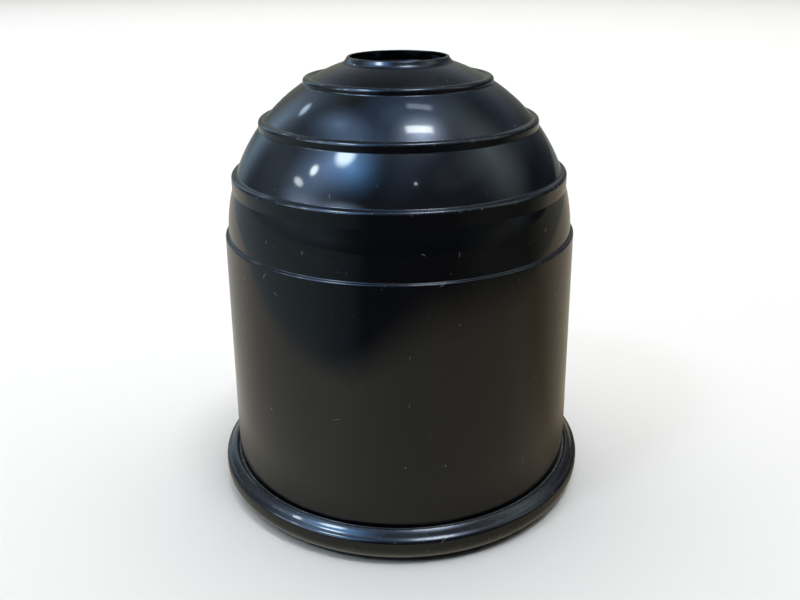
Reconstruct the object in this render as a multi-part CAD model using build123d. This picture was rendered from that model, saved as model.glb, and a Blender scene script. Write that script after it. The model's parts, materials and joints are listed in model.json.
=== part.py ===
from build123d import *
import os
from math import cos, radians, sin, sqrt, tan

os.makedirs("parts", exist_ok=True)

# Driving dimensions, in millimetres and degrees. The cover is a solid of
# revolution about Z that stands on its rolled rim at Z = 0.

# The ball it is pushed over, and the straight bore that takes it
ball_diameter = 50.0
ball_clearance = 0.3
dome_centre_z = 43.7
wall = 2.5
mouth_lead_in = 1.2

# Shoulder step where the dome meets the skirt, and the skirt's draft
shoulder_step = 0.5
shoulder_rise = 0.6
shoulder_edge = 0.28
shoulder_root = 0.15
skirt_draft = 0.8

# Rolled rim round the mouth: a rounded foot, an upright side, a sloping flat
# top, and a narrow gutter between its inner ridge and the skirt
rim_overhang = 2.4
foot_radius = 2.85
rim_height = 5.285
rim_slope = 30.0
rim_edge = 0.74
ridge_round = 0.45
gutter_width = 0.26
gutter_root = 0.1

# Ribs round the dome, as angles above the dome's centre: each has a round
# top and an upright front, so that the mould can be drawn straight off
rib_count = 3
rib_radius = 0.62
rib_root = 0.28
rib_lowest_angle = 20.4
rib_to_crown_angle = 14.3

# Crown: a raised lip with a sloping flank, round a shallow blind recess
crown_angle = 73.7
crown_rise = 0.74
crown_slope = 58.0
crown_root = 1.4
lip_round = 0.55
lip_inner_round = 0.22
lip_land = 0.04
recess_depth = 2.0
recess_round = 0.6
ceiling_round = 0.75

# Sizes that follow from those above
bore_radius = ball_diameter / 2 + ball_clearance
dome_radius = bore_radius + wall
shoulder_radius = dome_radius + shoulder_step
shoulder_z = dome_centre_z + shoulder_rise
mouth_radius = shoulder_radius + skirt_draft
rim_radius = mouth_radius + rim_overhang
gutter_floor_z = rim_height - ridge_round
gutter_rise = (gutter_floor_z - foot_radius) / (shoulder_z - foot_radius)
gutter_radius = mouth_radius - skirt_draft * gutter_rise
ridge_radius = gutter_radius + gutter_width + ridge_round
top_start_r = ridge_radius + ridge_round * sin(radians(rim_slope))
top_start_z = gutter_floor_z + ridge_round * cos(radians(rim_slope))
rim_corner_z = top_start_z - (rim_radius - top_start_r) * tan(radians(rim_slope))
rib_pitch = (crown_angle - rib_to_crown_angle - rib_lowest_angle) / (rib_count - 1)
crown_radius = dome_radius * cos(radians(crown_angle))
crown_foot_z = dome_centre_z + dome_radius * sin(radians(crown_angle))
crown_top_z = crown_foot_z + crown_rise
lip_width = lip_round * tan(radians(crown_slope / 2)) + lip_land + lip_inner_round
recess_radius = crown_radius - lip_width
recess_floor_z = crown_top_z - recess_depth
ceiling_z = recess_floor_z - wall


def on_dome(angle):
    a = radians(angle)
    return dome_radius * cos(a), dome_centre_z + dome_radius * sin(a)


def disc(centre, radius):
    return Pos(*centre) * Circle(radius)


def box(r0, z0, r1, z1):
    return Pos((r0 + r1) / 2, (z0 + z1) / 2) * Rectangle(r1 - r0, z1 - z0)


def corners_on(section, centre, radius):
    # corners of the section that lie on one of the discs it was built from
    return [
        v for v in section.vertices()
        if abs(sqrt((v.X - centre[0]) ** 2 + (v.Y - centre[1]) ** 2) - radius) < 1e-4
    ]


def corner_at(section, r, z):
    return section.vertices().sort_by_distance((r, z, 0))[0]


rib_centres = [on_dome(rib_lowest_angle + rib_pitch * k) for k in range(rib_count)]
foot_centre = (rim_radius - foot_radius, foot_radius)

# Outside of the half section: X is the radius, Y is the height
skirt = make_face(
    Polyline(
        (0, foot_radius),
        (mouth_radius, foot_radius),
        (shoulder_radius, shoulder_z),
        (0, shoulder_z),
        close=True,
    )
)
section = skirt + disc((0, dome_centre_z), dome_radius)
for centre in rib_centres:
    section += disc(centre, rib_radius)
    section += box(0, dome_centre_z, centre[0] + rib_radius, centre[1])
flank_run = 2 * crown_rise / tan(radians(crown_slope))
section += make_face(
    Polyline(
        (0, dome_centre_z),
        (crown_radius + flank_run, crown_foot_z - crown_rise),
        (crown_radius, crown_top_z),
        (0, crown_top_z),
        close=True,
    )
)
rim = make_face(
    Polyline(
        (0, foot_radius),
        (rim_radius, foot_radius),
        (rim_radius, rim_corner_z),
        (top_start_r, top_start_z),
        (ridge_radius, gutter_floor_z),
        (0, gutter_floor_z),
        close=True,
    )
)
section += rim + disc((ridge_radius, gutter_floor_z), ridge_round)
section &= box(0, foot_radius, rim_radius, crown_top_z)
foot = box(0, 0, foot_centre[0], foot_radius) + disc(foot_centre, foot_radius)
section += foot & box(0, 0, rim_radius, foot_radius)

# Soft roots above and below each rib, and where the crown's flank meets the dome
for centre in rib_centres:
    front = centre[0] + rib_radius
    upper = max(corners_on(section, centre, rib_radius), key=lambda v: v.Y)
    lower = corner_at(section, front, dome_centre_z + sqrt(dome_radius ** 2 - front ** 2))
    section = fillet([upper, lower], rib_root)
flank_r, flank_z = cos(radians(crown_slope)), -sin(radians(crown_slope))
back = crown_radius * flank_r + (crown_top_z - dome_centre_z) * flank_z
short = crown_radius ** 2 + (crown_top_z - dome_centre_z) ** 2 - dome_radius ** 2
run = -back - sqrt(back ** 2 - short)
flank_foot = corner_at(section, crown_radius + run * flank_r, crown_top_z + run * flank_z)
section = fillet(flank_foot, crown_root)

# Shoulder step: rounded edge, then the soft root under the dome's lowest band
section = fillet(corner_at(section, shoulder_radius, shoulder_z), shoulder_edge)
step_root_r = sqrt(dome_radius ** 2 - shoulder_rise ** 2)
section = fillet(corner_at(section, step_root_r, shoulder_z), shoulder_root)

# Rolled rim: rounded outer edge, and soft corners on both sides of the gutter
section = fillet(corner_at(section, rim_radius, rim_corner_z), rim_edge)
for side in (gutter_radius, gutter_radius + gutter_width):
    section = fillet(corner_at(section, side, gutter_floor_z), gutter_root)

# Blind recess inside the crown's rounded lip, with a rounded floor
section -= box(0, recess_floor_z, recess_radius, 2 * crown_top_z)
section = fillet(corner_at(section, crown_radius, crown_top_z), lip_round)
section = fillet(corner_at(section, recess_radius, crown_top_z), lip_inner_round)
section = fillet(corner_at(section, recess_radius, recess_floor_z), recess_round)

# Inside: straight bore, round top with a flat ceiling, rounded mouth
cavity = disc((0, dome_centre_z), bore_radius) + box(0, -wall, bore_radius, dome_centre_z)
cavity &= box(0, -wall, 2 * bore_radius, ceiling_z)
section -= cavity
section = fillet(corner_at(section, bore_radius, 0), mouth_lead_in)
ceiling_edge_r = sqrt(bore_radius ** 2 - (ceiling_z - dome_centre_z) ** 2)
section = fillet(corner_at(section, ceiling_edge_r, ceiling_z), ceiling_round)

cover = revolve(Plane.XZ * section, axis=Axis.Z, revolution_arc=360)

export_step(cover, "parts/cover.step")
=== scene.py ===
import bpy
import json
from math import acos, atan2, ceil, cos, degrees, dist, pi, radians, sin, sqrt, tan
from mathutils import Matrix, Vector


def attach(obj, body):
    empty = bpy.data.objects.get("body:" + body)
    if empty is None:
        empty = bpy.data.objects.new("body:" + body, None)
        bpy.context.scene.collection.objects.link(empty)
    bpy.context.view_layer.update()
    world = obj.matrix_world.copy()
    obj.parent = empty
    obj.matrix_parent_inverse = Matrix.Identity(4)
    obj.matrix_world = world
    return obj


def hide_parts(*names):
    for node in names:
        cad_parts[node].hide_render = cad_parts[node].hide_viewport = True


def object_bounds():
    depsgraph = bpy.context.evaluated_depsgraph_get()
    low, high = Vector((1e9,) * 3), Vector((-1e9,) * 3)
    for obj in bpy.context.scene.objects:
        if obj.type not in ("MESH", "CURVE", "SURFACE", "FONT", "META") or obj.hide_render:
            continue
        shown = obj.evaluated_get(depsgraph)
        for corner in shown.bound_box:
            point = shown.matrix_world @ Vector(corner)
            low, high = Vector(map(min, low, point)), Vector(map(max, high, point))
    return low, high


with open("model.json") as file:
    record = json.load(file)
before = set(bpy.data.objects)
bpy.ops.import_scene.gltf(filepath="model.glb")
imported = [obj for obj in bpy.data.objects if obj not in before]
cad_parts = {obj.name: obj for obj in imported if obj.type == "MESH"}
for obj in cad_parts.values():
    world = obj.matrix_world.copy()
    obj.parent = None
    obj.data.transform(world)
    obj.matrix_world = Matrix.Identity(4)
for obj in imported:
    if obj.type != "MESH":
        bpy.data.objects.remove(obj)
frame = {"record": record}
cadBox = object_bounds()
mm = 0.001
mounts = {m["name"]: m for m in frame["record"]["mounts"]}
print("frame loaded, size in mm", [round(v / mm, 2) for v in cadBox[1] - cadBox[0]])


# a node with its settings, and its inputs set or linked by name or number
def addNode(tree, kind, settings=None, inputs=None):
    made = tree.nodes.new(kind)
    for name, value in (settings or {}).items():
        setattr(made, name, value)
    for name, value in (inputs or {}).items():
        if isinstance(value, bpy.types.NodeSocket):
            tree.links.new(value, made.inputs[name])
        else:
            made.inputs[name].default_value = value
    return made


def addMath(tree, operation, *values):
    return addNode(tree, "ShaderNodeMath", {"operation": operation}, dict(enumerate(values))).outputs[0]


# the moulding, in millimetres and degrees
moulding = {
    "boreRadius": mounts["ball_bore"]["dims"]["r_mm"],
    "wall": 2.5,
    "domeCentre": 43.7,
    "mouthRound": 1.2,
    "shoulderStep": 0.5,
    "shoulderRise": 0.6,
    "shoulderEdge": 0.28,
    "shoulderRoot": 0.15,
    "skirtDraft": 0.8,
    "rimOverhang": 2.4,
    "footRadius": 2.85,
    "rimHeight": 5.285,
    "rimEdge": 0.8,
    "rimDip": 1.6,                    # radius of the shallow dip in the rim's sloping top
    "rimFacing": (64.5, 42.5, 60.5),  # degrees that it faces where the edge, the dip and the top end
    "ridgeRound": 0.36,
    "gutterWidth": 0.26,
    "gutterRoot": 0.1,
    "ribAngles": (20.4, 39.9, 59.4),
    "ribRadius": 0.62,
    "ribRoot": 0.28,
    "crownAngle": 73.7,
    "crownRise": 0.74,
    "crownSlope": 58.0,
    "crownRoot": 1.4,
    "lipRound": 0.32,
    "lipInner": 0.14,
    "lipLand": 0.04,
    "recessDepth": 2.0,
    "recessRound": 0.6,
    "ceilingRound": 0.75,
    # angles where the rounds are most rubbed, and the share of dust that settles in each place
    "rubbed": {"foot": -20, "rimEdge": 40, "shoulder": 45, "lip": 60, "lipInner": 110},
    "dusty": {"gutter": 1.6, "shoulder": 0.4, "rim": 0.3, "rib": 0.15},
    # spacing of points: along runs, in degrees on small rounds, and close beside each junction
    "runStep": 1.2,
    "arcStep": 8.0,
    "junctionStep": 0.05,
    "segments": 216,
    "weld": 0.002,
    "samePoint": 1e-6,
}


def onArc(centre, radius, angle):
    return centre[0] + radius * cos(radians(angle)), centre[1] + radius * sin(radians(angle))


def heading(start, end):
    return degrees(atan2(end[1] - start[1], end[0] - start[0]))


# shares of a run from 0 to 1, with a close pair at each end of a long one
def spread(length, step, junction):
    count = max(1, ceil(length / step))
    shares = [k / count for k in range(count + 1)]
    if step > 3 * junction:
        shares += [junction / length, 1 - junction / length]
    return sorted(shares)


# the half section as points: radius, height, and how far each is a crest, inside, or a nook
class Section:
    def __init__(self, sizes):
        self.sizes = sizes
        self.points = []

    def add(self, spot, crest=0.0, inside=0.0, nook=0.0):
        if not self.points or dist(self.points[-1][:2], spot) > self.sizes["samePoint"]:
            self.points.append((*spot, crest, inside, nook))

    def line(self, start, end, inside=0.0, nook=0.0):
        s = self.sizes
        start, end = Vector(start), Vector(end)
        for t in spread(dist(start, end), s["runStep"], s["junctionStep"]):
            self.add(start.lerp(end, t), 0.0, inside, nook)

    # the shorter way round; crestAt is the angle where the arc is most exposed
    def arc(self, centre, radius, start, end, crestAt=None, inside=0.0, nook=0.0):
        s = self.sizes
        sweep = (end - start + 180) % 360 - 180
        step = min(s["runStep"], radius * radians(s["arcStep"]))
        for t in spread(radius * abs(radians(sweep)), step, s["junctionStep"]):
            angle = start + sweep * t
            crest = 0.0 if crestAt is None else max(0.0, cos(radians(angle - crestAt))) ** 2
            self.add(onArc(centre, radius, angle), crest, inside, nook)


# from the ceiling's middle down the bore, round the rim and up the outside to the recess
def coverSection(s):
    dome = (0.0, s["domeCentre"])
    domeRadius = s["boreRadius"] + s["wall"]
    shoulder = (domeRadius + s["shoulderStep"], s["domeCentre"] + s["shoulderRise"])
    mouth = (shoulder[0] + s["skirtDraft"], s["footRadius"])
    rimRadius = mouth[0] + s["rimOverhang"]
    foot = (rimRadius - s["footRadius"], s["footRadius"])
    slope, soft = s["crownSlope"], s["lipRound"]
    tip = Vector(onArc(dome, domeRadius, s["crownAngle"])) + Vector((0.0, s["crownRise"]))
    recessFloor = tip.y - s["recessDepth"]
    recessRadius = tip.x - soft * tan(radians(slope / 2)) - s["lipLand"] - s["lipInner"]
    ceiling = recessFloor - s["wall"]
    rubbed, dusty = s["rubbed"], s["dusty"]
    cut = Section(s)

    # inside: flat ceiling, round top, straight bore, rounded mouth
    roundZ = ceiling - s["ceilingRound"]
    roundR = sqrt((s["boreRadius"] - s["ceilingRound"]) ** 2 - (roundZ - dome[1]) ** 2)
    toRound = heading(dome, (roundR, roundZ))
    cut.line((0.0, ceiling), (roundR, ceiling), inside=1.0)
    cut.arc((roundR, roundZ), s["ceilingRound"], 90, toRound, inside=1.0)
    cut.arc(dome, s["boreRadius"], toRound, 0, inside=1.0)
    cut.line((s["boreRadius"], dome[1]), (s["boreRadius"], s["mouthRound"]), inside=1.0)
    mouthCentre = (s["boreRadius"] + s["mouthRound"], s["mouthRound"])
    cut.arc(mouthCentre, s["mouthRound"], 180, 270, inside=0.5)
    cut.line((mouthCentre[0], 0.0), (foot[0], 0.0))

    # rolled rim: round foot, upright side, rounded edge, dip, sloping top, inner ridge
    gutterFloor = s["rimHeight"] - s["ridgeRound"]
    draft = s["skirtDraft"] * (gutterFloor - mouth[1]) / (shoulder[1] - mouth[1])
    ridge = Vector((mouth[0] - draft + s["gutterWidth"] + s["ridgeRound"], gutterFloor))
    edgeEnd, dipEnd, topEnd = s["rimFacing"]
    toEdge, toDip, toTop = (Vector(onArc((0, 0), 1.0, angle)) for angle in s["rimFacing"])
    reach = s["rimEdge"] + s["rimDip"]
    gap = ridge.x - rimRadius + s["rimEdge"] + s["ridgeRound"] * toTop.x
    topRadius = (gap - reach * toEdge.x + s["rimDip"] * toDip.x) / (toTop.x - toDip.x)
    top = ridge - toTop * (topRadius - s["ridgeRound"])
    dip = top + toDip * (topRadius + s["rimDip"])
    edge = dip - toEdge * reach
    cut.arc(foot, s["footRadius"], -90, 0, crestAt=rubbed["foot"])
    cut.line((rimRadius, foot[1]), (rimRadius, edge.y))
    cut.arc(edge, s["rimEdge"], 0, edgeEnd, crestAt=rubbed["rimEdge"])
    cut.arc(dip, s["rimDip"], edgeEnd + 180, dipEnd + 180, nook=dusty["rim"])
    cut.arc(top, topRadius, dipEnd, topEnd, nook=dusty["rim"])

    # narrow gutter between the ridge and the skirt
    tight = s["gutterRoot"]
    rootAway = sqrt(s["ridgeRound"] ** 2 + 2 * s["ridgeRound"] * tight)
    wallRoot = (ridge.x - rootAway, gutterFloor + tight)
    ridgeEnd = heading(ridge, wallRoot)
    cut.arc(ridge, s["ridgeRound"], topEnd, ridgeEnd, crestAt=topEnd, nook=dusty["rim"])
    cut.arc(wallRoot, tight, heading(wallRoot, ridge), -90, nook=dusty["gutter"])
    along = Vector((mouth[0] - shoulder[0], mouth[1] - shoulder[1])).normalized()
    out = Vector((-along.y, along.x))
    start = Vector(shoulder) + out * tight
    skirtRoot = start + along * ((gutterFloor + tight - start.y) / along.y)
    cut.line((wallRoot[0], gutterFloor), (skirtRoot.x, gutterFloor), nook=dusty["gutter"])
    cut.arc(skirtRoot, tight, -90, heading((0, 0), -out), nook=dusty["gutter"])

    # drafted skirt up to the shoulder step
    drop = s["shoulderEdge"] * (1 - along.x) / -along.y
    step = (shoulder[0] - drop, shoulder[1] - s["shoulderEdge"])
    cut.line(skirtRoot - out * tight, Vector(step) + out * s["shoulderEdge"])
    cut.arc(step, s["shoulderEdge"], heading((0, 0), out), 90, crestAt=rubbed["shoulder"])
    rootZ = shoulder[1] + s["shoulderRoot"]
    rootR = sqrt((domeRadius + s["shoulderRoot"]) ** 2 - (rootZ - dome[1]) ** 2)
    rootEnd = heading((rootR, rootZ), dome)
    cut.line((step[0], shoulder[1]), (rootR, shoulder[1]))
    cut.arc((rootR, rootZ), s["shoulderRoot"], -90, rootEnd, nook=dusty["shoulder"])

    # ribbed dome: one band and the rib above it at a time
    bandStart = heading(dome, (rootR, rootZ))
    for angle in s["ribAngles"]:
        bandStart = addRib(cut, dome, domeRadius, angle, bandStart)

    # crown: soft root, sloping flank, rounded lip, and the blind recess inside it
    flank = Vector((cos(radians(-slope)), sin(radians(-slope))))
    facing = Vector((-flank.y, flank.x))
    start = tip + facing * s["crownRoot"] - Vector(dome)
    back = start.dot(flank)
    short = start.length_squared - (domeRadius + s["crownRoot"]) ** 2
    root = Vector(dome) + start + flank * (-back - sqrt(back * back - short))
    cut.arc(dome, domeRadius, bandStart, heading(dome, root))
    cut.arc(root, s["crownRoot"], heading(root, dome), heading((0, 0), -facing))
    lip = (tip.x - soft * tan(radians(slope / 2)), tip.y - soft)
    cut.line(root - facing * s["crownRoot"], onArc(lip, soft, 90 - slope))
    cut.arc(lip, soft, 90 - slope, 90, crestAt=rubbed["lip"])
    inner = (recessRadius + s["lipInner"], tip.y - s["lipInner"])
    cut.line((lip[0], tip.y), (inner[0], tip.y))
    cut.arc(inner, s["lipInner"], 90, 180, crestAt=rubbed["lipInner"])
    corner = (recessRadius - s["recessRound"], recessFloor + s["recessRound"])
    cut.line((recessRadius, inner[1]), (recessRadius, corner[1]))
    cut.arc(corner, s["recessRound"], 0, -90)
    cut.line((corner[0], recessFloor), (0.0, recessFloor))
    return cut.points


# one band of the dome and the rib above it: soft root, upright front, round top, soft root
def addRib(cut, dome, domeRadius, angle, bandStart):
    radius, root = cut.sizes["ribRadius"], cut.sizes["ribRoot"]
    middle = onArc(dome, domeRadius, angle)
    front = middle[0] + radius
    rootTrack = domeRadius + root
    lower = (front + root, dome[1] + sqrt(rootTrack ** 2 - (front + root) ** 2))
    reach = (domeRadius ** 2 + rootTrack ** 2 - (radius + root) ** 2) / (2 * domeRadius * rootTrack)
    above = angle + degrees(acos(reach))
    upper = onArc(dome, rootTrack, above)
    settles = cut.sizes["dusty"]["rib"]
    cut.arc(dome, domeRadius, bandStart, heading(dome, lower))
    cut.arc(lower, root, heading(lower, dome), 180)
    cut.line((front, lower[1]), (front, middle[1]))
    cut.arc(middle, radius, 0, heading(middle, upper), crestAt=angle)
    cut.arc(upper, root, heading(upper, middle), heading(upper, dome), nook=settles)
    return above


# Geometry Nodes lathe: each column of a grid is the section, turned a little further
def turnTree():
    tree = bpy.data.node_groups.new("turnSection", "GeometryNodeTree")
    for name, kind in (("Section", "Geometry"), ("Segments", "Int"), ("Girth", "Float"),
                       ("Weld", "Float"), ("Finish", "Material")):
        tree.interface.new_socket(name, in_out="INPUT", socket_type="NodeSocket" + kind)
    tree.interface.new_socket("Cover", in_out="OUTPUT", socket_type="NodeSocketGeometry")
    given = addNode(tree, "NodeGroupInput").outputs
    count = addNode(tree, "GeometryNodeAttributeDomainSize", {"component": "MESH"}, {0: given["Section"]})
    points = count.outputs["Point Count"]
    columns = addMath(tree, "ADD", given["Segments"], 1)
    grid = addNode(tree, "GeometryNodeMeshGrid", None, {"Vertices X": columns, "Vertices Y": points})
    index = addNode(tree, "GeometryNodeInputIndex").outputs[0]
    station = addMath(tree, "FLOORED_MODULO", index, points)
    column = addMath(tree, "FLOOR", addMath(tree, "DIVIDE", index, points))
    turn = addMath(tree, "DIVIDE", column, given["Segments"])

    def fromSection(kind, value):
        sample = addNode(tree, "GeometryNodeSampleIndex", {"data_type": kind, "domain": "POINT"})
        tree.links.new(given["Section"], sample.inputs["Geometry"])
        tree.links.new(value, sample.inputs["Value"])
        tree.links.new(station, sample.inputs["Index"])
        return sample.outputs["Value"]

    def keep(mesh, name, value, kind="FLOAT", domain="POINT"):
        stored = addNode(tree, "GeometryNodeStoreNamedAttribute", {"data_type": kind, "domain": domain},
                         {"Geometry": mesh, "Name": name, "Value": value})
        return stored.outputs[0]

    spot = fromSection("FLOAT_VECTOR", addNode(tree, "GeometryNodeInputPosition").outputs[0])
    turned = addNode(tree, "ShaderNodeVectorRotate", {"rotation_type": "Z_AXIS"},
                     {"Vector": spot, "Angle": addMath(tree, "MULTIPLY", turn, 2 * pi)})
    mesh = addNode(tree, "GeometryNodeSetPosition", None,
                   {"Geometry": grid.outputs["Mesh"], "Position": turned.outputs[0]}).outputs[0]
    for name in ("along", "crest", "inside", "nook"):
        named = addNode(tree, "GeometryNodeInputNamedAttribute", {"data_type": "FLOAT"}, {"Name": name})
        value = fromSection("FLOAT", named.outputs["Attribute"])
        mesh = keep(mesh, name, value)
        if name == "along":
            around = addMath(tree, "MULTIPLY", turn, given["Girth"])
            flat = addNode(tree, "ShaderNodeCombineXYZ", None, {"X": around, "Y": value})
            skin = addNode(tree, "GeometryNodeFieldOnDomain",
                           {"data_type": "FLOAT_VECTOR", "domain": "POINT"})
            tree.links.new(flat.outputs[0], skin.inputs["Value"])
            mesh = keep(mesh, "skin", skin.outputs["Value"], "FLOAT2", "CORNER")
    closed = addNode(tree, "GeometryNodeMergeByDistance", None,
                     {"Geometry": mesh, "Distance": given["Weld"]})
    smooth = addNode(tree, "GeometryNodeSetShadeSmooth", None, {"Geometry": closed.outputs[0]})
    whole = addNode(tree, "GeometryNodeRealizeInstances", None, {"Geometry": smooth.outputs[0]})
    dressed = addNode(tree, "GeometryNodeSetMaterial", None,
                      {"Geometry": whole.outputs[0], "Material": given["Finish"]})
    addNode(tree, "NodeGroupOutput", None, {0: dressed.outputs[0]})
    return tree


def setInputs(modifier, values):
    for item in modifier.node_group.interface.items_tree:
        if item.item_type == "SOCKET" and item.in_out == "INPUT" and item.name in values:
            modifier[item.identifier] = values[item.name]


def makeCover(finish):
    points = coverSection(moulding)
    mesh = bpy.data.meshes.new("coverSection")
    joined = [(k, k + 1) for k in range(len(points) - 1)]
    mesh.from_pydata([(spot[0] * mm, 0.0, spot[1] * mm) for spot in points], joined, [])
    along = [0.0]
    for a, b in zip(points, points[1:]):
        along.append(along[-1] + dist(a[:2], b[:2]) * mm)
    marks = {
        "along": along,
        "crest": [p[2] for p in points],
        "inside": [p[3] for p in points],
        "nook": [p[4] for p in points],
    }
    for name, values in marks.items():
        mesh.attributes.new(name, "FLOAT", "POINT").data.foreach_set("value", values)
    cover = bpy.data.objects.new("moulded_cover", mesh)
    bpy.context.scene.collection.objects.link(cover)
    modifier = cover.modifiers.new("turn", "NODES")
    modifier.node_group = turnTree()
    setInputs(modifier, {
        "Segments": moulding["segments"],
        "Girth": 2 * pi * (moulding["boreRadius"] + moulding["wall"]) * mm,
        "Weld": moulding["weld"] * mm,
        "Finish": finish,
    })
    bpy.context.view_layer.update()
    graph = bpy.context.evaluated_depsgraph_get()
    turned = cover.evaluated_get(graph)
    solid = bpy.data.meshes.new_from_object(turned, preserve_all_data_layers=True, depsgraph=graph)
    cover.modifiers.clear()
    cover.data = solid
    solid.materials.pop(index=0)  # the empty slot of the bare section
    solid.name = "moulded_cover"
    print("cover turned:", len(points), "section points,", len(solid.polygons), "faces")
    return cover


# glossy black plastic, handled and a little dusty; lengths in metres
plastic = {
    "black": (0.0016, 0.0017, 0.0022, 1),
    "specular": 0.22,         # the hazy lobe, with smudges and scuffs
    "gloss": 0.095,
    "smudged": 0.22,
    "insideGloss": 0.4,
    "coat": 0.55,             # the sharp lobe of the moulded skin
    "coatRoughness": 0.025,
    "coatIor": 1.45,
    "smudgeScale": 70.0,
    "smudgeDetail": 5.0,
    "smudgeFrom": (0.46, 0.68),
    "streakTurn": 52.0,
    "streakScale": (110.0, 1500.0, 1.0),
    "streakDetail": 3.0,
    "streakFrom": (0.55, 0.75),
    "streakDepth": 1.2e-6,
    "waves": ((38.0, 1.6e-5), (170.0, 7e-6), (800.0, 8e-7)),  # scale and height, sink marks to fine skin
    "dustTint": (0.46, 0.45, 0.43, 1),
    "dustRoughness": 0.75,
    "dustHeight": 2.5e-5,
    "settledScale": 1400.0,   # dust on the rim and in the roots, from a thin film to thick patches
    "settledFrom": (0.54, 0.72),
    "settledFilm": (0.09, 0.2),
    "wornTint": (0.1, 0.1, 0.105, 1),
    "wornScale": 900.0,
    "wornDetail": 3.0,
    "wornFrom": (0.58, 0.7),
    "wornPower": 3.0,
    "wornShare": 0.35,
    "scratchShare": 0.3,
    "speckCore": 0.4,         # share of a speck or hair that is solid, inside its soft edge
    "hairCore": 0.3,
}
# cell is the spacing, share is how many cells hold one, shift moves the draw
specks = (
    {"cell": 0.0021, "radius": (0.00004, 0.00008), "share": 0.16, "strength": 0.42, "shift": 0.31},
    {"cell": 0.0055, "radius": (0.00008, 0.00014), "share": 0.2, "strength": 0.52, "shift": 0.77},
)
lint = (
    {"cell": 0.0105, "half": 0.0005, "width": 0.00006, "bend": 500.0,
     "share": 0.13, "strength": 0.42, "shift": 0.13},
    {"cell": 0.0075, "half": 0.00028, "width": 0.00006, "bend": 900.0,
     "share": 0.14, "strength": 0.4, "shift": 0.59},
)
scratches = (
    {"cell": 0.016, "half": 0.0035, "width": 0.00005, "bend": 20.0,
     "share": 0.3, "strength": 0.5, "shift": 0.41},
)


def addRange(tree, value, fromLow, fromHigh, toLow=0.0, toHigh=1.0):
    made = addNode(tree, "ShaderNodeMapRange", {"interpolation_type": "SMOOTHSTEP"},
                   {0: value, 1: fromLow, 2: fromHigh, 3: toLow, 4: toHigh})
    return made.outputs[0]


def addMix(tree, share, first, second):
    made = addNode(tree, "ShaderNodeMix", {"data_type": "RGBA"}, {0: share, 6: first, 7: second})
    return made.outputs[2]


def addNoise(tree, vector, scale, detail=2.0):
    made = addNode(tree, "ShaderNodeTexNoise", None, {"Vector": vector, "Scale": scale, "Detail": detail})
    return made.outputs[0]


def addVector(tree, operation, first, second):
    made = addNode(tree, "ShaderNodeVectorMath", {"operation": operation}, {0: first, 1: second})
    return made.outputs[0]


# one random cell pattern on the skin: offset from the cell's middle, three random draws, distance
def skinCells(tree, skin, spec):
    moved = addVector(tree, "ADD", skin, (spec["shift"], spec["shift"], 0))
    cells = addNode(tree, "ShaderNodeTexVoronoi", {"voronoi_dimensions": "2D"},
                    {"Vector": moved, "Scale": 1 / spec["cell"]})
    offset = addVector(tree, "SUBTRACT", moved, cells.outputs["Position"])
    draws = addNode(tree, "ShaderNodeSeparateColor", None, {0: cells.outputs["Color"]}).outputs
    return offset, draws, cells.outputs["Distance"]


# only the cells whose draw falls within the share keep their mark
def keepShare(tree, mark, draw, spec):
    kept = addMath(tree, "LESS_THAN", draw, spec["share"])
    return addMath(tree, "MULTIPLY", addMath(tree, "MULTIPLY", mark, kept), spec["strength"])


def speckMask(tree, skin, spec):
    _, draws, away = skinCells(tree, skin, spec)
    low, high = (r / spec["cell"] for r in spec["radius"])
    radius = addMath(tree, "MULTIPLY_ADD", draws[0], high - low, low)
    dot = addRange(tree, away, radius, addMath(tree, "MULTIPLY", radius, plastic["speckCore"]))
    return keepShare(tree, dot, draws[1], spec)


# a short curved hair in some of the cells, each turned its own way
def hairMask(tree, skin, spec):
    offset, draws, _ = skinCells(tree, skin, spec)
    turn = addMath(tree, "MULTIPLY", draws[0], 2 * pi)
    laid = addNode(tree, "ShaderNodeVectorRotate", {"rotation_type": "Z_AXIS"},
                   {"Vector": offset, "Angle": turn})
    axes = addNode(tree, "ShaderNodeSeparateXYZ", None, {0: laid.outputs[0]}).outputs
    curve = addMath(tree, "MULTIPLY", addMath(tree, "SUBTRACT", draws[2], 0.5), 2 * spec["bend"])
    bow = addMath(tree, "MULTIPLY", curve, addMath(tree, "POWER", axes["X"], 2.0))
    side = addMath(tree, "SUBTRACT", axes["Y"], bow)
    beyond = addMath(tree, "SUBTRACT", addMath(tree, "ABSOLUTE", axes["X"]), spec["half"])
    past = addMath(tree, "MAXIMUM", beyond, 0.0)
    squares = addMath(tree, "ADD", addMath(tree, "POWER", past, 2.0), addMath(tree, "POWER", side, 2.0))
    away = addMath(tree, "SQRT", squares)
    hair = addRange(tree, away, spec["width"], plastic["hairCore"] * spec["width"])
    return keepShare(tree, hair, draws[1], spec)


def strongest(tree, masks):
    top = masks[0]
    for mask in masks[1:]:
        top = addMath(tree, "MAXIMUM", top, mask)
    return top


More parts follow.
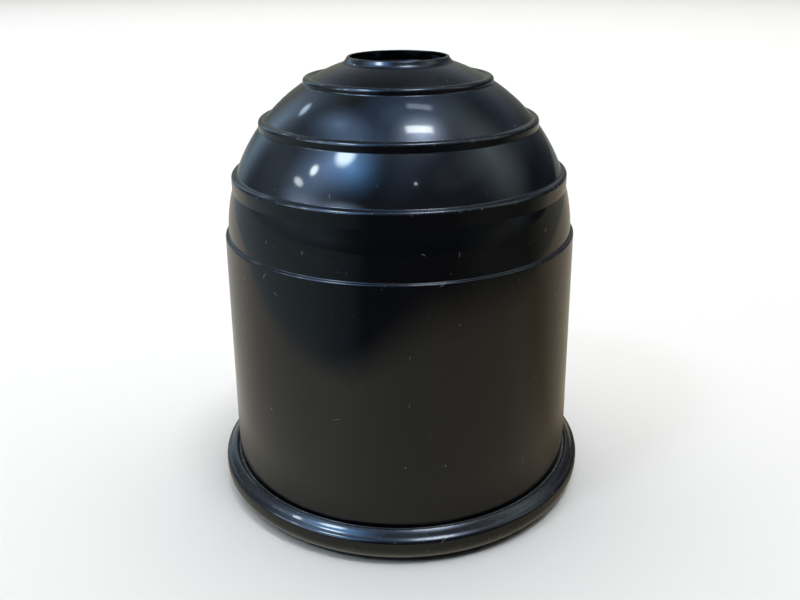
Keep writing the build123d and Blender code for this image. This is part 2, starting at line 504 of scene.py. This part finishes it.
def blackPlastic():
    p = plastic
    material = bpy.data.materials.new("black_plastic_gloss")
    material.use_nodes = True
    tree = material.node_tree
    tree.nodes.clear()
    place = addNode(tree, "ShaderNodeTexCoord").outputs["Object"]
    skin = addNode(tree, "ShaderNodeUVMap", {"uv_map": "skin"}).outputs[0]
    crest, inside, nook = (addNode(tree, "ShaderNodeAttribute", {"attribute_name": name}).outputs["Fac"]
                           for name in ("crest", "inside", "nook"))

    # dust that settled and fell, scratches, smudges, scuffs, and rubbed crests
    film = addRange(tree, addNoise(tree, place, p["settledScale"]), *p["settledFrom"], *p["settledFilm"])
    settled = addMath(tree, "MULTIPLY", nook, film)
    fallen = [speckMask(tree, skin, spec) for spec in specks]
    fallen += [hairMask(tree, skin, spec) for spec in lint]
    dust = strongest(tree, [settled] + fallen)
    scratch = strongest(tree, [hairMask(tree, skin, spec) for spec in scratches])
    smudge = addRange(tree, addNoise(tree, place, p["smudgeScale"], p["smudgeDetail"]), *p["smudgeFrom"])
    slanted = addNode(tree, "ShaderNodeVectorRotate", {"rotation_type": "Z_AXIS"},
                      {"Vector": skin, "Angle": radians(p["streakTurn"])}).outputs[0]
    drawn = addVector(tree, "MULTIPLY", slanted, p["streakScale"])
    streak = addRange(tree, addNoise(tree, drawn, 1.0, p["streakDetail"]), *p["streakFrom"])
    scuff = addMath(tree, "MULTIPLY", streak, smudge)
    patches = addRange(tree, addNoise(tree, place, p["wornScale"], p["wornDetail"]), *p["wornFrom"])
    worn = addMath(tree, "MULTIPLY", addMath(tree, "POWER", crest, p["wornPower"]), patches)

    # colour: black, paler where crests are rubbed or scratched, then dust on top
    paler = strongest(tree, [addMath(tree, "MULTIPLY", worn, p["wornShare"]),
                             addMath(tree, "MULTIPLY", scratch, p["scratchShare"])])
    colour = addMix(tree, dust, addMix(tree, paler, p["black"], p["wornTint"]), p["dustTint"])

    # gloss: smudges, scuffs and dust dull it, and the inside is plainer
    dull = strongest(tree, [smudge, scuff, scratch, worn])
    gloss = addRange(tree, dull, 0.0, 1.0, p["gloss"], p["smudged"])
    gloss = addRange(tree, inside, 0.0, 1.0, gloss, p["insideGloss"])
    gloss = addRange(tree, dust, 0.0, 1.0, gloss, p["dustRoughness"])

    height = addMath(tree, "MULTIPLY", dust, p["dustHeight"])
    height = addMath(tree, "MULTIPLY_ADD", scuff, -p["streakDepth"], height)
    for scale, rise in p["waves"]:
        height = addMath(tree, "MULTIPLY_ADD", addNoise(tree, place, scale), rise, height)
    bump = addNode(tree, "ShaderNodeBump", None, {"Strength": 1.0, "Distance": 1.0, "Height": height})

    shader = addNode(tree, "ShaderNodeBsdfPrincipled", None, {
        "Base Color": colour,
        "Roughness": gloss,
        "Specular IOR Level": p["specular"],
        "Coat Weight": p["coat"],
        "Coat Roughness": p["coatRoughness"],
        "Coat IOR": p["coatIor"],
        "Normal": bump.outputs[0],
        "Coat Normal": bump.outputs[0],
    })
    addNode(tree, "ShaderNodeOutputMaterial", None, {"Surface": shader.outputs[0]})
    print("plastic mixed")
    return material


cover = makeCover(blackPlastic())
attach(cover, "root")
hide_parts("cover")

# plain pale floor
paleFloor = {
    "near": -2.0,
    "far": 3.2,
    "half": 2.6,
    "tint": (0.84, 0.838, 0.832, 1),
    "roughness": 0.7,
    "specular": 0.2,
}


def floorCorners():
    half, near, far = paleFloor["half"], paleFloor["near"], paleFloor["far"]
    return (-half, near), (half, near), (half, far), (-half, far)


def makeFloor():
    mesh = bpy.data.meshes.new("paleFloor")
    mesh.from_pydata([(x, y, 0) for x, y in floorCorners()], [], [(0, 1, 2, 3)])
    floor = bpy.data.objects.new("pale_floor", mesh)
    bpy.context.scene.collection.objects.link(floor)
    material = bpy.data.materials.new("pale_floor")
    material.use_nodes = True
    shader = material.node_tree.nodes["Principled BSDF"]
    shader.inputs["Base Color"].default_value = paleFloor["tint"]
    shader.inputs["Roughness"].default_value = paleFloor["roughness"]
    shader.inputs["Specular IOR Level"].default_value = paleFloor["specular"]
    mesh.materials.append(material)
    return floor


makeFloor()
print("floor laid")

# soft lamps over the floor, placed from the cover: azimuth from the front (right is plus), elevation
# and metres away, and level ones face straight down; the gloss shows the cards below instead
middle = (cadBox[0] + cadBox[1]) / 2
lamps = {
    "overhead_bank": {"azimuth": 190, "elevation": 48, "away": 1.35, "size": (3.0, 2.4), "radiance": 1.7,
                      "tint": (1.0, 0.985, 0.96), "level": True},
    "top_lamp": {"azimuth": 54, "elevation": 76, "away": 2.4, "size": (0.6, 0.26), "radiance": 30.0,
                 "tint": (0.9, 0.96, 1.0), "level": True},
    "left_lamp": {"azimuth": -56, "elevation": 51, "away": 2.4, "size": (0.42, 0.4), "radiance": 15.0,
                  "tint": (0.78, 0.92, 1.0), "level": False},
}


def fromCover(spec):
    azimuth, elevation = radians(spec["azimuth"]), radians(spec["elevation"])
    return Vector((sin(azimuth) * cos(elevation), -cos(azimuth) * cos(elevation), sin(elevation)))


def addLamp(name, spec):
    light = bpy.data.lights.new(name, "AREA")
    light.shape = "RECTANGLE"
    light.size, light.size_y = spec["size"]
    light.energy = spec["radiance"] * pi * spec["size"][0] * spec["size"][1]
    light.color = spec["tint"]
    lamp = bpy.data.objects.new(name, light)
    lamp.location = middle + fromCover(spec) * spec["away"]
    if not spec["level"]:
        lamp.rotation_euler = fromCover(spec).to_track_quat("Z", "Y").to_euler()
    lamp.visible_glossy = False
    bpy.context.scene.collection.objects.link(lamp)


for name, spec in lamps.items():
    addLamp(name, spec)


# a piece of the stage with a shader of its own, hidden from the kinds of ray that are named
def addStage(name, corners, faces, faceShader, hiddenFrom):
    mesh = bpy.data.meshes.new(name)
    mesh.from_pydata(corners, [], faces)
    material = bpy.data.materials.new(name)
    material.use_nodes = True
    tree = material.node_tree
    tree.nodes.clear()
    addNode(tree, "ShaderNodeOutputMaterial", None, {"Surface": faceShader(tree)})
    mesh.materials.append(material)
    piece = bpy.data.objects.new(name, mesh)
    for ray in hiddenFrom:
        setattr(piece, "visible_" + ray, False)
    bpy.context.scene.collection.objects.link(piece)
    return piece


# a card that shows only as a reflection in the gloss
def addCard(name, corners, faceShader):
    face = tuple(range(len(corners)))
    return addStage(name, corners, [face], faceShader, ("camera", "diffuse", "shadow"))


# a card on the floor, seen only in reflections, gives the skirt its pale foot and dark top: how far the
# pale part goes, and the tints, by the angle round the cover from the back, over the left, front and
# right to the back again
floorCard = {
    "limit": ((0.0, 0.4), (0.12, 0.36), (0.185, 0.16), (0.247, 0.121), (0.306, 0.103), (0.375, 0.092),
              (0.436, 0.092), (0.5, 0.114), (0.556, 0.13), (0.7, 0.134), (0.785, 0.155), (0.85, 0.32),
              (1.0, 0.4)),
    "soft": ((0.0, 0.035), (0.25, 0.018), (0.4, 0.018), (0.54, 0.06), (0.75, 0.045), (1.0, 0.035)),
    "pale": ((0.0, (0.44, 0.41, 0.35)), (0.12, (0.5, 0.48, 0.44)), (0.25, (0.56, 0.52, 0.46)),
             (0.34, (0.66, 0.66, 0.58)), (0.4, (0.7, 0.7, 0.63)), (0.5, (0.51, 0.51, 0.43)),
             (0.62, (0.5, 0.445, 0.355)), (0.69, (0.44, 0.37, 0.28)), (0.74, (0.29, 0.24, 0.16)),
             (0.81, (0.37, 0.32, 0.24)), (1.0, (0.44, 0.41, 0.35))),
    # tints beyond the pale part: dark surroundings at the sides and back, and in front painted shade that
    # the skirt's top reflects
    "dark": ((0.0, (0.25, 0.28, 0.28)), (0.12, (0.3, 0.37, 0.42)), (0.3, (0.33, 0.42, 0.47)),
             (0.36, (0.28, 0.37, 0.42)), (0.42, (0.17, 0.21, 0.26)), (0.445, (0.06, 0.07, 0.11)),
             (0.58, (0.06, 0.06, 0.07)), (0.65, (0.13, 0.14, 0.125)), (0.74, (0.08, 0.08, 0.07)),
             (0.79, (0.2, 0.19, 0.15)), (1.0, (0.25, 0.28, 0.28))),
    "contact": ((0.24, 0.3), (0.4, 0.6), (0.5, 0.95), (0.6, 0.6), (0.75, 0.3)),  # painted contact shade: how bright the card stays close to the rim
    "closeTo": (0.0315, 0.046),  # from the axis, where the painted contact shade is deepest and where it ends
    "under": (0.0298, 0.0312),   # painted shade below the round foot
    "lift": 0.0002,
}


def addRamp(tree, share, stops, blend="LINEAR"):
    ramp = addNode(tree, "ShaderNodeValToRGB", None, {0: share})
    ramp.color_ramp.interpolation = blend
    while len(ramp.color_ramp.elements) < len(stops):
        ramp.color_ramp.elements.new(0.5)
    for element, (place, tint) in zip(ramp.color_ramp.elements, stops):
        element.position = place
        element.color = (*tint, 1)
    return ramp.outputs[0]


# a ramp of plain numbers
def addLevels(tree, share, stops, blend="LINEAR"):
    return addRamp(tree, share, [(place, (level,) * 3) for place, level in stops], blend)


def floorShader(tree):
    spot = addNode(tree, "ShaderNodeTexCoord").outputs["Object"]
    axes = addNode(tree, "ShaderNodeSeparateXYZ", None, {0: spot}).outputs
    away = addNode(tree, "ShaderNodeVectorMath", {"operation": "LENGTH"}, {0: spot}).outputs["Value"]
    angle = addMath(tree, "ARCTAN2", axes["X"], addMath(tree, "MULTIPLY", axes["Y"], -1.0))
    share = addMath(tree, "MULTIPLY_ADD", angle, 0.5 / pi, 0.5)  # 0 to 1 round the cover
    limit = addLevels(tree, share, floorCard["limit"], "B_SPLINE")
    soft = addLevels(tree, share, floorCard["soft"])
    past = addMath(tree, "DIVIDE", addMath(tree, "SUBTRACT", away, limit), soft)
    mask = addRange(tree, past, 0.5, -0.5)  # 1 on the pale part
    dark, pale = (addRamp(tree, share, floorCard[name]) for name in ("dark", "pale"))
    # painted contact shade on the card, close to the rim and below the foot
    close = addLevels(tree, share, floorCard["contact"])
    contactShadeLevel = addRange(tree, away, *floorCard["closeTo"], close, 1.0)
    strength = addMath(tree, "MULTIPLY", contactShadeLevel, addRange(tree, away, *floorCard["under"]))
    glow = addNode(tree, "ShaderNodeEmission", None,
                   {"Color": addMix(tree, mask, dark, pale), "Strength": strength})
    return glow.outputs[0]


addCard("floor_card", [(x, y, floorCard["lift"]) for x, y in floorCorners()], floorShader)

# soft lights that the gloss shows, by their half angles across and up: a halo fades out from its middle,
# and a round disc or a square pane is full over its core and soft outside it
cards = {"away": 2.6, "core": 0.4, "sides": 64}
glowCards = {
    "left_lamp_card": {"azimuth": -57, "elevation": 53.5, "reach": (7.8, 8.8), "shape": "disc",
                       "glow": (17, 20, 21)},
    "left_glow": {"azimuth": -45.8, "elevation": 49, "reach": (26, 21.5), "turn": -9, "shape": "halo",
                  "glow": (1.8, 4.8, 10)},
    "left_halo": {"azimuth": -65, "elevation": 45, "reach": (27, 44), "turn": -21, "shape": "halo",
                  "glow": (2.5, 3.9, 6.7)},
    "left_pane": {"azimuth": -73.6, "elevation": 37.4, "reach": (3.3, 4.1), "shape": "disc",
                  "glow": (18.7, 21.5, 21.5)},
    "left_strip": {"azimuth": -79.8, "elevation": 27.7, "reach": (5.4, 2.5), "shape": "disc",
                   "glow": (10.6, 11.6, 11.7)},
    "left_low": {"azimuth": -62, "elevation": 18.8, "reach": (31, 10), "shape": "halo",
                 "glow": (4, 4.8, 6.1)},
    "front_low": {"azimuth": -41, "elevation": 23.4, "reach": (22.6, 6.7), "turn": 8, "shape": "halo",
                  "glow": (8.8, 12, 16.8)},
    "low_left": {"azimuth": -48, "elevation": 5, "reach": (36, 12), "shape": "halo",
                 "glow": (0.2, 0.26, 0.3)},
    "low_right": {"azimuth": 66, "elevation": 3, "reach": (34, 14), "shape": "halo",
                  "glow": (0.17, 0.17, 0.12)},
    "left_side": {"azimuth": -81, "elevation": 22.7, "reach": (55, 50), "turn": 22, "shape": "halo",
                  "glow": (0.5, 0.68, 0.84)},
    "back_left": {"azimuth": -98, "elevation": 60.4, "reach": (26, 14.7), "turn": 43, "shape": "halo",
                  "glow": (1.75, 2.9, 4.8)},
    "back_lamp": {"azimuth": -133.7, "elevation": 36.4, "reach": (4.4, 3.3), "shape": "disc",
                  "glow": (3.2, 4, 5.2)},
    "back_halo": {"azimuth": -137, "elevation": 22.6, "reach": (21, 50), "turn": -7, "shape": "halo",
                  "glow": (0.56, 0.87, 1.16)},
    "back_soft": {"azimuth": -177, "elevation": 17, "reach": (55, 48), "shape": "halo",
                  "glow": (0.28, 0.28, 0.2)},
    "top_bar": {"azimuth": 51, "elevation": 75.9, "reach": (3.0, 8.6), "turn": 51, "shape": "pane",
                "core": 0.65, "glow": (16.2, 17.5, 16.7)},
    "top_glow": {"azimuth": 46.7, "elevation": 73.1, "reach": (19, 17.6), "turn": -14, "shape": "halo",
                 "glow": (9, 10.7, 14.5)},
    "top_halo": {"azimuth": 45.8, "elevation": 73.3, "reach": (55, 27.5), "turn": 29, "shape": "halo",
                 "glow": (0.7, 1.05, 1.65)},
    "second_bar": {"azimuth": 130.5, "elevation": 77, "reach": (7.2, 2.5), "turn": 55, "shape": "pane",
                   "core": 0.6, "glow": (2.8, 3.2, 3.8)},
    "right_halo": {"azimuth": 88.6, "elevation": 41.8, "reach": (29.5, 47), "turn": -10, "shape": "halo",
                   "glow": (1.12, 1.37, 1.43)},
    "front_spot": {"azimuth": 13.8, "elevation": 43.1, "reach": (1.2, 1.2), "shape": "disc",
                   "glow": (13.3, 14.2, 16.5)},
    "front_right": {"azimuth": 50.7, "elevation": 43, "reach": (24.5, 12), "shape": "disc",
                    "glow": (0.19, 0.23, 0.26)},
}


def addGlow(name, spec):
    half = [cards["away"] * tan(radians(angle)) for angle in spec["reach"]]
    core = spec.get("core", cards["core"])

    def gradient(tree, scaled, kind):
        return addNode(tree, "ShaderNodeTexGradient", {"gradient_type": kind}, {0: scaled}).outputs["Fac"]

    def faceShader(tree):
        spot = addNode(tree, "ShaderNodeTexCoord").outputs["Object"]
        scaled = addVector(tree, "DIVIDE", spot, (*half, 1.0))
        if spec["shape"] == "halo":
            fade = gradient(tree, scaled, "QUADRATIC_SPHERE")
        elif spec["shape"] == "disc":
            fade = addRange(tree, gradient(tree, scaled, "SPHERICAL"), 0.0, 1 - core)
        else:
            axes = addNode(tree, "ShaderNodeSeparateXYZ", None, {0: scaled}).outputs
            sides = [addMath(tree, "ABSOLUTE", axes[k]) for k in ("X", "Y")]
            fade = addMath(tree, "MULTIPLY", *(addRange(tree, side, 1.0, core) for side in sides))
        glow = addNode(tree, "ShaderNodeEmission", None, {"Color": (*spec["glow"], 1), "Strength": fade})
        clear = addNode(tree, "ShaderNodeBsdfTransparent")
        both = addNode(tree, "ShaderNodeAddShader", None, {0: clear.outputs[0], 1: glow.outputs[0]})
        return both.outputs[0]

    if spec["shape"] == "pane":
        outline = [(-1, -1), (1, -1), (1, 1), (-1, 1)]
    else:
        outline = [onArc((0, 0), 1.0, 360 * k / cards["sides"]) for k in range(cards["sides"])]
    card = addCard(name, [(x * half[0], y * half[1], 0.0) for x, y in outline], faceShader)
    card.location = middle + fromCover(spec) * cards["away"]
    facing = fromCover(spec).to_track_quat("Z", "Y").to_matrix()
    card.rotation_euler = (facing @ Matrix.Rotation(radians(spec.get("turn", 0)), 3, "Z")).to_euler()


for name, spec in glowCards.items():
    addGlow(name, spec)

# dim surroundings by height, which only show in reflections
surround = (
    (0.0, (0.03, 0.042, 0.06)),
    (0.25, (0.06, 0.072, 0.095)),
    (0.45, (0.176, 0.213, 0.3)),
    (0.7, (0.14, 0.183, 0.259)),
    (0.9, (0.164, 0.182, 0.185)),
    (0.98, (0.367, 0.601, 1.05)),
    (1.0, (0.646, 1.067, 1.606)),
)


def makeSurround():
    world = bpy.data.worlds.new("soft_surround")
    bpy.context.scene.world = world
    world.use_nodes = True
    tree = world.node_tree
    tree.nodes.clear()
    toward = addNode(tree, "ShaderNodeTexCoord").outputs["Generated"]
    axes = addNode(tree, "ShaderNodeSeparateXYZ", None, {0: toward}).outputs
    colour = addRamp(tree, axes["Z"], surround)
    back = addNode(tree, "ShaderNodeBackground", None, {"Color": colour, "Strength": 1.0})
    addNode(tree, "ShaderNodeOutputWorld", None, {"Surface": back.outputs[0]})
    world.cycles_visibility.diffuse = False


makeSurround()
print("lights set")

# pale backdrop all round, which only shows past the floor from lower angles
backdrop = {"radius": 1.9, "height": 3.0, "sides": 96, "tint": (0.7, 0.7, 0.69, 1)}


def makeBackdrop():
    sides = backdrop["sides"]
    ring = [onArc((0, 0), backdrop["radius"], 360 * k / sides) for k in range(sides)]
    corners = [(x, y, z) for z in (0.0, backdrop["height"]) for x, y in ring]
    faces = [(k, (k + 1) % sides, sides + (k + 1) % sides, sides + k) for k in range(sides)]

    def faceShader(tree):
        glow = addNode(tree, "ShaderNodeEmission", None, {"Color": backdrop["tint"], "Strength": 1.0})
        return glow.outputs[0]

    addStage("pale_backdrop", corners, faces, faceShader, ("glossy", "diffuse", "shadow"))


makeBackdrop()
print("backdrop set")

# camera at the photograph's angle
view = {
    "lens": 37.615,
    "sensor": 36.0,
    "place": (-0.00002, -0.13283, 0.08574),
    "tiltDown": 22.607,
    "roll": 0.52,
    "clip": (0.005, 20),
}
lens = bpy.data.cameras.new("camera")
lens.lens = view["lens"]
lens.sensor_width = view["sensor"]
lens.sensor_fit = "HORIZONTAL"
lens.clip_start, lens.clip_end = view["clip"]
camera = bpy.data.objects.new("camera", lens)
camera.location = view["place"]
tilt = Matrix.Rotation(radians(90 - view["tiltDown"]), 3, "X")
camera.rotation_euler = (tilt @ Matrix.Rotation(radians(-view["roll"]), 3, "Z")).to_euler()
bpy.context.scene.collection.objects.link(camera)
bpy.context.scene.camera = camera
bpy.context.scene.view_settings.view_transform = "Standard"
print("camera placed")
